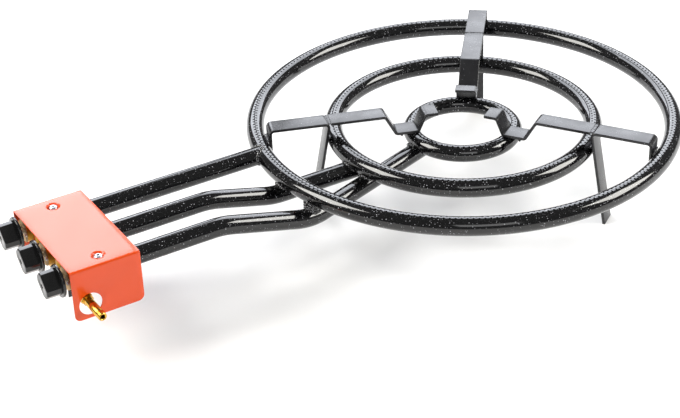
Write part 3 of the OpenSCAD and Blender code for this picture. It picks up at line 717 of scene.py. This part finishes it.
class BURNER_OT_pipes(bpy.types.Operator):
    """Build the three feed pipes"""
    bl_idname = "burner.pipes"
    bl_label = "Feed pipes"

    def execute(self, context):
        sizes = context.scene.burner_sizes
        for name, path in pipe_paths(sizes)[0].items():
            shell = pipe_shell(path, sizes.pipe_d, sizes.pipe_wall)
            piece(name + "_feed_pipe", shell, "enamel", "frame", [name + "_pipe"])
        return {"FINISHED"}


class BURNER_OT_supports(bpy.types.Operator):
    """Build the flat bars that carry the pan"""
    bl_idname = "burner.supports"
    bl_label = "Pan supports"

    def execute(self, context):
        sizes = context.scene.burner_sizes
        r = sizes.bar_bend_r + sizes.bar_t / 2
        for name, (degrees, shift) in SUPPORTS.items():
            for kind, corners in zip(("outer", "inner"), support_paths(sizes, name)):
                points, across = in_support(corners, degrees, shift)
                path = filleted(points, [r] * (len(points) - 2), steps=8)
                shell = bar_shell(path, across, sizes.bar_w, sizes.bar_t, sizes.bar_edge, kind == "outer")
                piece(f"{name}_{kind}_bar", shell, "bar", "frame", [f"{name}_{kind}_bracket"])
        return {"FINISHED"}


class BURNER_OT_welds(bpy.types.Operator):
    """Lay the weld beads where pipes, rings and bars meet"""
    bl_idname = "burner.welds"
    bl_label = "Welds"

    def execute(self, context):
        sizes = context.scene.burner_sizes
        paths, low, meet = pipe_paths(sizes)
        t = np.arange(96) / 96 * TAU
        self.side_weld(sizes, t)
        self.saddle_welds(sizes, paths, t)
        self.end_welds(sizes, low, meet, t)
        self.bar_welds(sizes)
        return {"FINISHED"}

    def side_weld(self, sizes, t):
        """Outer pipe into the side of the outer ring: on the pipe at angle t, x = -sqrt(rho^2 - y^2), where
        rho = R + sqrt(tube^2 - (half sin t)^2). The bead lies a little before the seam and leans back."""
        before, lean = 0.0008, -0.6
        ring = RINGS["outer"]
        half = sizes.pipe_d / 2
        y = PIPE_Y["outer"] + half * np.cos(t)
        dz = half * np.sin(t)
        rho = ring[1] + np.sqrt(np.maximum(ring[2] ** 2 - dz ** 2, 0))
        seam = np.stack([CENTRE[0] - np.sqrt(rho ** 2 - y ** 2) - before, y, ring[0][2] + dz], -1)
        face = np.stack([lean + 0 * t, np.cos(t), np.sin(t)], -1)
        shell = bead_shell(seam, unit(face), sizes.bead_r, sizes.bead_pitch, True)
        piece("outer_pipe_weld", shell, "weld", "frame")

    def saddle_welds(self, sizes, paths, t):
        """Where a pipe passes under a ring, an oval bead lies in the groove round the touching place, lifted
        by (u^2 - v^2) / (4 half) to follow both tubes; a gap between the two is filled with further beads."""
        along_r, side_r, fine, layer, full = 0.0085, 0.0095, 0.001, 1.5, 1.15
        r = sizes.bead_r
        half = sizes.pipe_d / 2
        for pipe, ring_name in (("middle", "outer"), ("inner", "outer"), ("inner", "middle")):
            ring = RINGS[ring_name]
            path = spread(paths[pipe], fine)
            k = int(np.argmin(np.abs(np.hypot(path[:, 0] - CENTRE[0], path[:, 1] - CENTRE[1]) - ring[1])))
            ahead = path[k + 1] - path[k]
            turn = math.atan2(ahead[1], ahead[0])
            top = ring[0][2] - ring[2]
            gap = max(0.0, top - path[k][2] - half)
            layers = 1 + int(gap / (layer * r))
            u = along_r * np.cos(t)
            v = side_r * np.sin(t)
            lift = (u ** 2 - v ** 2) / (4 * half)
            face = np.stack([np.cos(t + turn), np.sin(t + turn), 0 * t], -1)
            shells = []
            for z in np.linspace(top, top - gap, layers):
                seam = np.stack([path[k][0] + u * math.cos(turn) - v * math.sin(turn),
                                 path[k][1] + u * math.sin(turn) + v * math.cos(turn), z + lift], -1)
                shells.append(bead_shell(seam, face, full * r, sizes.bead_pitch, True, 0.9))
            piece(f"{pipe}_{ring_name}_weld", joined(shells), "weld", "frame")

    def end_welds(self, sizes, low, meet, t):
        """Pipe ends under their own rings: the seam on the pipe at angle a from its top is where the ring's
        tube cuts it, outer branch then inner branch, rho = R +- sqrt(tube^2 - (z - ring z)^2)."""
        over, square, full = 0.004, 0.3, 1.1
        half = sizes.pipe_d / 2
        ends = (("middle", np.array([-RINGS["middle"][1], PIPE_Y["middle"]]), 0.0),
                ("inner", meet, sizes.turn_angle))
        for name, at, turn in ends:
            centre, _, tube = RINGS[name]
            drop = centre[2] - low[name]
            widest = math.acos(min(1, max(0, (drop - tube) / half)))
            a = widest * np.sin(t)
            z = low[name] + half * np.cos(a)
            branch = -np.sign(np.cos(t)) * np.abs(np.cos(t)) ** square
            reach = np.sqrt(np.maximum(tube ** 2 - (z - centre[2]) ** 2, 0)) * branch
            v = half * np.sin(a)
            seam = np.stack([CENTRE[0] + at[0] + reach * math.cos(turn) - v * math.sin(turn),
                             at[1] + reach * math.sin(turn) + v * math.cos(turn), z], -1)
            face = unit(seam - np.array([CENTRE[0] + at[0], at[1], centre[2] + over]))
            shell = bead_shell(seam, face, full * sizes.bead_r, sizes.bead_pitch, True)
            piece(name + "_end_weld", shell, "weld", "frame")

    def bar_welds(self, sizes):
        """Straight beads across each support: on the seam of its two bars, where it meets the outer ring, on
        the saddle and at the leg. The seam's bead is ground almost flush."""
        r = sizes.bead_r
        outer, middle, inner = (RINGS[name] for name in TAPS)
        s = np.linspace(-0.5, 0.5, 40)[:, None]
        for name, (degrees, shift) in SUPPORTS.items():
            outer_bar, inner_bar = support_paths(sizes, name)
            end_r = outer_bar[0][0]
            side = -1 if name == "rear" else 1
            inner_top = inner[0][2] + inner[2]
            # Kind, distance from the centre, height, facing, bead radius and share of the bar's width
            spots = [("seam", inner_bar[0][0] + 0.0022, PAN_Z - 0.0009, (0, 1), 1.2 * r, 0.98),
                     ("rim", end_r + side * 0.0029, outer[0][2] + 0.0065, (-0.5 * side, 1), 0.58 * r, 0.9),
                     ("saddle", inner_bar[2][0] - 0.008, inner_top - 0.0018, (1, 0.3), 0.85 * r, 0.9)]
            if name != "rear":
                leg_r = middle[1] + middle[2] - 0.0012
                spots.append(("leg", leg_r, middle[0][2] + 0.009, (0, 1), 0.85 * r, 0.9))
            for kind, dist, z, face, size, share in spots:
                point, across = in_support([(dist, z)], degrees, shift)
                out, _ = in_support([(dist + face[0], z + face[1])], degrees, shift)
                seam = point + across * s * sizes.bar_w * share
                flat, key = (0.28, "bar") if kind == "seam" else (0.75, "weld")
                shell = bead_shell(seam, unit(out - point) + 0 * seam, size, sizes.bead_pitch, False, flat)
                piece(f"{name}_{kind}_weld", shell, key, "frame")


class BURNER_OT_cover(bpy.types.Operator):
    """Fold the orange cover from its flat pattern"""
    bl_idname = "burner.cover"
    bl_label = "Cover"

    def execute(self, context):
        sizes = context.scene.burner_sizes
        lo, hi = box_of("cover")
        depth, width, height = hi - lo
        r = sizes.fold_r
        wall, arc, top = height - r, r * QUARTER, width - 2 * r
        total = 2 * wall + 2 * arc + top
        nozzle_lo, nozzle_hi = box_of("hose_nozzle")
        nozzle = ((nozzle_lo + nozzle_hi) / 2 - lo)[[0, 2]]
        hole_r = sizes.nozzle_hole_d / 2
        rim_r, floor_r = sizes.dimple_top_d / 2, sizes.dimple_d / 2
        sides, clear, inside = 64, 0.002, 0.999
        ring = circle(sides)
        screws = [np.array([depth / 2, total / 2 + k * sizes.screw_spacing / 2]) for k in (-1, 1)]
        # Flat pattern: x along the depth, s round the folds from the near lower edge to the far one
        c = sizes.corner_r
        q = np.linspace(0, QUARTER, 9)
        corner = np.stack([np.cos(q), np.sin(q)], -1) * c
        loop = np.concatenate([corner * [1, 1] + [depth - c, total - c],
                               corner[::-1] * [-1, 1] + [c, total - c],
                               corner * [-1, -1] + [c, c], corner[::-1] * [1, -1] + [depth - c, c]])
        hole = nozzle + ring * sizes.nozzle_hole_d / 2
        # Rings of points round a dimple, close together at its floor and rim so that both bends are tight
        dimple_rs = [sizes.screw_head_d * 0.29, floor_r - 0.0004, floor_r + 0.0005,
                     rim_r - 0.0008, rim_r, rim_r + 0.0009]
        rings = [s + ring * d for s in screws for d in dimple_rs]
        folds = np.concatenate([wall + np.linspace(0, arc, 7), wall + arc + top + np.linspace(0, arc, 7)])
        xs = np.linspace(0, depth, 13)
        gx, gs = np.meshgrid(xs, folds, indexing="ij")
        inner_s = np.concatenate([np.linspace(c, wall, 7)[:-1], wall + arc + np.linspace(0, top, 14)[1:-1],
                                  wall + 2 * arc + top + np.linspace(0, wall - c, 7)[1:]])
        hx, hs = np.meshgrid(xs, inner_s, indexing="ij")
        field = np.stack([hx.ravel(), hs.ravel()], -1)
        keep = np.linalg.norm(field - nozzle, axis=1) > hole_r + clear
        for s in screws:
            keep &= np.linalg.norm(field - s, axis=1) > rim_r + clear
        flat = np.concatenate([loop, hole] + rings + [np.stack([gx.ravel(), gs.ravel()], -1), field[keep]])
        edges = [(i, (i + 1) % len(loop)) for i in range(len(loop))]
        start = len(loop)
        for _ in range(1 + len(rings)):
            edges += [(start + i, start + (i + 1) % sides) for i in range(sides)]
            start += sides
        cut = geometry.delaunay_2d_cdt([Vector(p) for p in flat.tolist()], edges, [], 0, 1e-7)
        flat = np.array([tuple(v) for v in cut[0]])
        tris = np.array([f for f in cut[2] if len(f) == 3])
        # Triangles in the holes and beyond the round corners are left out
        mid = flat[tris].mean(1)
        keep = np.linalg.norm(mid - nozzle, axis=1) > hole_r * inside
        for s in screws:
            keep &= np.linalg.norm(mid - s, axis=1) > dimple_rs[0] * inside
        for k in np.array([[0, 0], [0, 1], [1, 0], [1, 1]]):
            at = np.array([c, c]) + k * (np.array([depth, total]) - 2 * c)
            beyond = ((mid - at) * (2 * k - 1) > 0).all(1)
            keep &= ~(beyond & (np.linalg.norm(mid - at, axis=1) > c))
        tris = tris[keep]
        # Folding: walls and top are straight, the folds are quarter circles of radius r
        x, s = flat.T
        turn = np.clip((s - wall) / r, 0, QUARTER)
        turn2 = np.clip((s - wall - arc - top) / r, 0, QUARTER)
        y = r * (1 - np.cos(turn)) + np.clip(s - wall - arc, 0, top) + r * np.sin(turn2)
        rise = np.minimum(s, wall) + r * np.sin(turn)
        z = rise - r * (1 - np.cos(turn2)) - np.maximum(s - wall - 2 * arc - top, 0)
        for screw in screws:
            d = np.linalg.norm(flat - screw, axis=1)
            z = z - sizes.dimple_depth * np.clip((rim_r - d) / (rim_r - floor_r), 0, 1)
        verts = np.stack([x, y, z], -1) + lo
        a, b, e = (verts[tris[:, i]] for i in range(3))
        facing = np.einsum("ij,ij->i", np.cross(b - a, e - a), (a + b + e) / 3 - (lo + hi) / 2)
        tris[facing < 0] = tris[facing < 0][:, ::-1]
        made = piece("orange_cover", (verts, tris.tolist()), "paint", "frame", ["cover"],
                     sharp=50)
        sheet = made.modifiers.new("sheet", "SOLIDIFY")
        sheet.thickness = sizes.cover_t
        sheet.offset = -1
        soft = made.modifiers.new("soft_edges", "BEVEL")
        soft.width = 0.00025
        soft.segments = 2
        soft.limit_method = "ANGLE"
        soft.angle_limit = math.radians(60)
        return {"FINISHED"}


class BURNER_OT_screws(bpy.types.Operator):
    """Turn the cover screws and finish the small screws inside"""
    bl_idname = "burner.screws"
    bl_label = "Screws"

    def execute(self, context):
        sizes = context.scene.burner_sizes
        lo, hi = box_of("cover_screws")
        r = sizes.screw_head_d / 2
        seat = float(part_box("cover")[1].z) - sizes.dimple_depth + WELD_GAP
        head = float(hi[2]) - seat
        shank = 0.003
        # Half profile of a domed head with a six-sided socket, from the socket floor to the foot of the shank
        a = np.linspace(0.15, 1.0, 9) * QUARTER
        dome = np.stack([0.42 * r + 0.58 * r * np.sin(a), seat + 0.25 * head + 0.75 * head * np.cos(a)], -1)
        socket = [(0.3 * r, seat + 0.35 * head), (0.36 * r, seat + 0.38 * head),
                  (0.36 * r, seat + 0.97 * head), (0.42 * r, seat + head)]
        profile = np.concatenate([socket, dome, [(r, seat), (shank, seat), (shank, float(lo[2]))]])
        shells = []
        for k in (-1, 1):
            rows = lathe(profile, hexed=(0, 1, 2))
            rows[..., 0] += (lo[0] + hi[0]) / 2
            rows[..., 1] += k * sizes.screw_spacing / 2
            shells.append(capped(rows))
        piece("domed_cover_screws", joined(shells), "steel", "frame", ["cover_screws"])
        coat(["bonnet_screws"], "steel")
        return {"FINISHED"}


class BURNER_OT_gas_train(bpy.types.Operator):
    """Turn the hose nozzle and finish the rail, taps and injectors"""
    bl_idname = "burner.gas_train"
    bl_label = "Gas fittings"

    def execute(self, context):
        sizes = context.scene.burner_sizes
        lo, hi = box_of("hose_nozzle")
        centre = (lo + hi) / 2
        ridge_height, lip, chamfer, flat_share = 0.0004, 0.0006, 0.0009, 0.86
        r, bore = sizes.nozzle_d / 2, sizes.nozzle_bore_d / 2
        core = r - ridge_height
        tip, back = float(-lo[1]), float(-hi[1])
        hex_r = float(hi[0] - lo[0]) / 2
        seat = -float(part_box("gas_rail")[0].y) + WELD_GAP
        ridge, spigot = sizes.nozzle_ridge, sizes.spigot_d / 2
        nut = seat + sizes.nozzle_nut
        # Heights run outwards along -Y: up the bore, lip, two ridges, plain tail, nut and spigot
        profile = [(bore, back), (bore, tip - lip), (bore + lip, tip), (core - lip, tip), (core, tip - lip),
                   (r, tip - ridge + lip), (core, tip - ridge), (r, tip - 2 * ridge + lip),
                   (core, tip - 2 * ridge), (r, tip - 2 * ridge - lip), (r, nut)]
        first = len(profile)
        profile += [(flat_share * hex_r, nut), (hex_r, nut - chamfer), (hex_r, seat + chamfer),
                    (flat_share * hex_r, seat), (spigot, seat), (spigot, back)]
        rows = lathe(profile, hexed=(first + 1, first + 2), turns=60)
        turned = np.stack([rows[..., 0] + centre[0], -rows[..., 2], rows[..., 1] + centre[2]], -1)
        piece("brass_hose_nozzle", looped(turned), "brass", "frame", ["hose_nozzle"])
        coat(["gas_rail", "rail_plug"] + [n + "_injector" for n in TAPS], "brass")
        coat([n + s for n in TAPS for s in ("_tap_body", "_bonnet")], "cast_brass")
        coat([n + s for n in TAPS for s in ("_tap_plug", "_spindle")], "steel")
        coat(["cross_bar", "rail_hangers"], "bar")
        return {"FINISHED"}


class BURNER_OT_springs(bpy.types.Operator):
    """Wind the return springs"""
    bl_idname = "burner.springs"
    bl_label = "Return springs"

    def execute(self, context):
        sizes = context.scene.burner_sizes
        half = sizes.wire_d / 2
        wire = circle(10) * half
        turn_steps = 24
        a = np.linspace(0, sizes.spring_turns * TAU, turn_steps * sizes.spring_turns + 1)
        radial = np.stack([0 * a, np.cos(a), np.sin(a)], -1)
        for name in TAPS:
            lo, hi = box_of(name + "_spring")
            # A helix inside the node's box: the way along X grows evenly with the angle
            middle = (lo + hi) / 2
            path = middle * [0, 1, 1] + radial * ((hi[1] - lo[1]) / 2 - half)
            path[:, 0] = np.linspace(lo[0] + half, hi[0] - half, len(a))
            rows = carried(path, radial, np.cross(tangents(path), radial), wire)
            made = piece(name + "_return_spring", capped(rows), "steel", name + "_valve",
                         [name + "_spring"])
            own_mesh(made)
        return {"FINISHED"}


def grip_outline(w, l, c, steps=4, soft=0.0012):
    """Outline of the grip: an eight-cornered bar, each corner rounded by an arc of radius soft."""
    a, b = w / 2, l / 2
    corners = np.array([(a, -b + c), (a, b - c), (a - c, b), (c - a, b),
                        (-a, b - c), (-a, c - b), (c - a, -b), (a - c, -b)])
    closed = np.concatenate([corners[-1:], corners, corners[:1]])
    flat = np.concatenate([closed, np.zeros((len(closed), 1))], 1)
    mids = (flat[:-1] + flat[1:]) / 2
    rounded = filleted(np.concatenate([mids[:1], flat[1:-1], mids[-1:]]), [soft] * len(corners), steps)
    return rounded[1:-1, :2]


class BURNER_OT_knobs(bpy.types.Operator):
    """Mould the three knobs"""
    bl_idname = "burner.knobs"
    bl_label = "Knobs"

    def execute(self, context):
        sizes = context.scene.burner_sizes
        for name in TAPS:
            lo, hi = box_of(name + "_knob")
            y0, z0 = (lo[1:] + hi[1:]) / 2
            front, back = float(lo[0]), float(hi[0])
            skirt = self.skirt(sizes, back, y0, z0)
            grip = self.grip(sizes, front, back - sizes.skirt_t, y0, z0)
            piece(name + "_black_knob", joined([skirt, grip]), "plastic", name + "_control",
                  [name + "_knob"], sharp=40)
        return {"FINISHED"}

    def skirt(self, sizes, back, y0, z0):
        """A turned disc with a round rim and a slightly dished front: a profile of (radius, way forward)."""
        r, t = sizes.skirt_d / 2, sizes.skirt_t
        bore, rim_r, back_edge, dish = 0.0036, 0.001, 0.0006, 0.0002
        q = np.linspace(0, QUARTER, 5)
        rim = np.stack([r - rim_r + rim_r * np.sin(q), t - rim_r + rim_r * np.cos(q)], -1)
        profile = np.concatenate([[(bore, 0.0), (r - back_edge, 0.0), (r, back_edge)], rim[::-1],
                                  [(0.72 * r, t - dish), (0.3 * r, t), (bore, t)]])
        rows = lathe(profile, turns=72)
        return looped(np.stack([back - rows[..., 2], rows[..., 0] + y0, rows[..., 1] + z0], -1))

    def grip(self, sizes, front, skirt_front, y0, z0):
        """A chamfered bar with soft edges, drawn from inside the skirt to the front: each row is the outline
        drawn in by an inset. Rows shrink over a round front edge, and a small hole is sunk in the front."""
        sunk, edge, draft = 0.001, 0.0016, 0.0003
        outline = grip_outline(sizes.grip_w, sizes.grip_len, sizes.grip_chamfer)
        unit_ring = unit(outline)
        deep = skirt_front + sunk
        stations = [(deep, 0.0), (deep - 0.002, 0.0), (front + edge + 0.004, draft)]
        stations += [(front + edge - edge * math.sin(v), draft + edge * (1 - math.cos(v)))
                     for v in np.linspace(0, QUARTER, 6)]
        rings = [(x, outline - unit_ring * inset) for x, inset in stations]
        # Way back from the front and radius of the hole's rows
        hole = ((0.0, 0.0032), (0.0005, 0.0026), (0.003, 0.0025))
        rings += [(front + way, unit_ring * radius) for way, radius in hole]
        rows = np.array([np.concatenate([np.full((len(outline), 1), x), ring], 1) for x, ring in rings])
        a = -sizes.grip_tilt
        y, z = rows[..., 1].copy(), rows[..., 2].copy()
        rows[..., 1] = y * math.cos(a) - z * math.sin(a) + y0
        rows[..., 2] = y * math.sin(a) + z * math.cos(a) + z0
        return capped(rows)


class BURNER_OT_stage(bpy.types.Operator):
    """Set the floor, the lamps and the camera"""
    bl_idname = "burner.stage"
    bl_label = "Stage"

    def execute(self, context):
        scene = context.scene
        self.floor(scene)
        self.lamps(scene)
        self.camera(scene)
        scene.view_settings.view_transform = "Standard"
        return {"FINISHED"}

    def floor(self, scene):
        """A wide sheet of pale paper."""
        e = 9.0
        mesh = bpy.data.meshes.new("floor")
        mesh.from_pydata([(-e, -e, 0), (e, -e, 0), (e, e, 0), (-e, e, 0)], [], [(0, 1, 2, 3)])
        floor = bpy.data.objects.new("floor", mesh)
        scene.collection.objects.link(floor)
        paper = finish("pale_paper", {"Roughness": 0.9, "Specular IOR Level": 0.0,
                                      "Base Color": opaque(scene.burner_colours.floor)})
        mesh.materials.append(paper[0])

    def lamps(self, scene):
        """An even white world and five softboxes. The back and far ones stand in one plane, with a gap
        between them that leaves the tops of the pipes dark."""
        world = bpy.data.worlds.new("studio")
        world.use_nodes = True
        back = world.node_tree.nodes["Background"]
        back.inputs["Color"].default_value = (1, 1, 1, 1)
        back.inputs["Strength"].default_value = 0.22
        scene.world = world
        middle = (0.0, 0.0, 0.1)
        cool, warm, white = (0.90, 0.93, 1.0), (1.0, 0.98, 0.93), (1.0, 1.0, 1.0)
        # Name, place, aim, width, height, power and tint
        lamps = (("back_softbox", (1.766, 1.646, 1.75), (0.616, -0.354, 0.1), 1.78, 1.9, 56, cool),
                 ("far_softbox", (0.274, 2.503, 1.75), (-0.876, 0.503, 0.1), 1.18, 1.9, 40, cool),
                 ("left_softbox", (-1.60, 0.75, 1.58), middle, 1.1, 1.3, 52, warm),
                 ("right_softbox", (1.65, -1.03, 1.32), middle, 1.1, 1.1, 44, warm),
                 ("front_softbox", (-0.9, -2.6, 2.0), middle, 1.6, 1.2, 12, white))
        for name, place, aim, w, h, power, tint in lamps:
            data = bpy.data.lights.new(name, "AREA")
            data.shape = "RECTANGLE"
            data.size = w
            data.size_y = h
            data.energy = power
            data.color = tint
            lamp = bpy.data.objects.new(name, data)
            lamp.location = place
            lamp.rotation_euler = (Vector(aim) - Vector(place)).to_track_quat("-Z", "Y").to_euler()
            scene.collection.objects.link(lamp)

    def camera(self, scene):
        """A camera with its right, up and ahead directions given."""
        data = bpy.data.cameras.new("camera")
        data.sensor_fit = "HORIZONTAL"
        data.sensor_width = 36
        data.lens = 90
        data.clip_end = 50
        camera = bpy.data.objects.new("camera", data)
        place = (-1.02564, -1.69996, 1.23422)
        right = Vector((0.85202, -0.52268, -0.02946))
        up = Vector((0.29362, 0.43054, 0.85348))
        ahead = Vector((0.43341, 0.73583, -0.52030))
        turn = Matrix((right, up, -ahead)).transposed()
        camera.matrix_world = Matrix.Translation(place) @ turn.to_4x4()
        scene.collection.objects.link(camera)
        scene.camera = camera


OPERATORS = (BURNER_OT_finishes, BURNER_OT_rings, BURNER_OT_pipes, BURNER_OT_supports, BURNER_OT_welds,
             BURNER_OT_cover, BURNER_OT_screws, BURNER_OT_gas_train, BURNER_OT_springs, BURNER_OT_knobs,
             BURNER_OT_stage)


class BURNER_PT_panel(bpy.types.Panel):
    """Sidebar list of the burner's pieces and sizes"""
    bl_idname = "BURNER_PT_panel"
    bl_label = "Burner"
    bl_space_type = "VIEW_3D"
    bl_region_type = "UI"
    bl_category = "Burner"

    def draw(self, context):
        for operator in OPERATORS:
            self.layout.operator(operator.bl_idname)
        for group in (context.scene.burner_sizes, context.scene.burner_colours):
            for key in group.__annotations__:
                self.layout.prop(group, key)


CLASSES = (BurnerSizes, BurnerColours) + OPERATORS + (BURNER_PT_panel,)


def register():
    for cls in CLASSES:
        bpy.utils.register_class(cls)
    bpy.types.Scene.burner_sizes = bpy.props.PointerProperty(type=BurnerSizes)
    bpy.types.Scene.burner_colours = bpy.props.PointerProperty(type=BurnerColours)


def unregister():
    del bpy.types.Scene.burner_colours
    del bpy.types.Scene.burner_sizes
    for cls in reversed(CLASSES):
        bpy.utils.unregister_class(cls)


def main():
    register()
    bpy.ops.burner.finishes()
    bpy.ops.burner.rings()
    bpy.ops.burner.pipes()
    bpy.ops.burner.supports()
    bpy.ops.burner.welds()
    bpy.ops.burner.cover()
    bpy.ops.burner.screws()
    bpy.ops.burner.gas_train()
    bpy.ops.burner.springs()
    bpy.ops.burner.knobs()
    bpy.ops.burner.stage()


if __name__ == "__main__":
    main()
